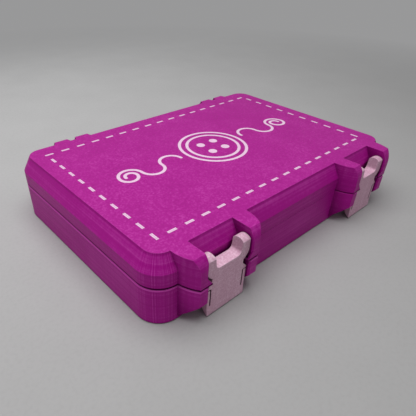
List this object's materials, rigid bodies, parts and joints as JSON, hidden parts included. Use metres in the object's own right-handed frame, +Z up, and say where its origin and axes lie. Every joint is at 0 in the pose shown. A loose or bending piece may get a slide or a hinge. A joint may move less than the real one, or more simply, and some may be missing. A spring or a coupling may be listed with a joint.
{
  "type": "bobbin storage case",
  "caption": "Flat rectangular printed case with a hinged lid, flush dashed inlay, front snap latches and half-round bays inside for sewing bobbins.",
  "frame": {"origin": "centre of the base's flat underside", "axes": "+X along the length, to the right as seen from the front; the latches face -Y and the hinge is at +Y; +Z up, out of the lid"},
  "size_m": [0.1536, 0.1177, 0.0296],
  "materials": {
    "shell": "satin",
    "latch": "satin",
    "inlay": "satin",
    "cradle": "satin",
    "pin": "satin"
  },
  "bodies": {
    "base": {"base_shell": "shell", "hinge_pin_left": "pin", "hinge_pin_right": "pin", "bobbin_cradle_1": "cradle", "bobbin_cradle_2": "cradle", "bobbin_cradle_3": "cradle", "bobbin_cradle_4": "cradle"},
    "lid": {"lid_shell": "shell", "stitches_left": "inlay", "stitches_front": "inlay", "stitches_right": "inlay", "stitches_back": "inlay", "motif_button_rim": "inlay", "motif_button_ring": "inlay", "motif_button_hole_1": "inlay", "motif_button_hole_2": "inlay", "motif_button_hole_3": "inlay", "motif_button_hole_4": "inlay", "motif_scroll_left": "inlay", "motif_scroll_right": "inlay"},
    "latch_left": {"latch_left": "latch"},
    "latch_right": {"latch_right": "latch"}
  },
  "joints": [
    {"name": "lid_hinge", "type": "hinge", "parent": "base", "child": "lid", "pos_m": [0, 0.0553, 0.0164], "axis": [-1, 0, 0], "range_deg": [0, 180]},
    {"name": "latch_left_pivot", "type": "hinge", "parent": "base", "child": "latch_left", "pos_m": [-0.0486, -0.0558, 0.0092], "axis": [1, 0, 0], "range_deg": [0, 35]},
    {"name": "latch_right_pivot", "type": "hinge", "parent": "base", "child": "latch_right", "pos_m": [0.0486, -0.0558, 0.0092], "axis": [1, 0, 0], "range_deg": [0, 35]}
  ]
}
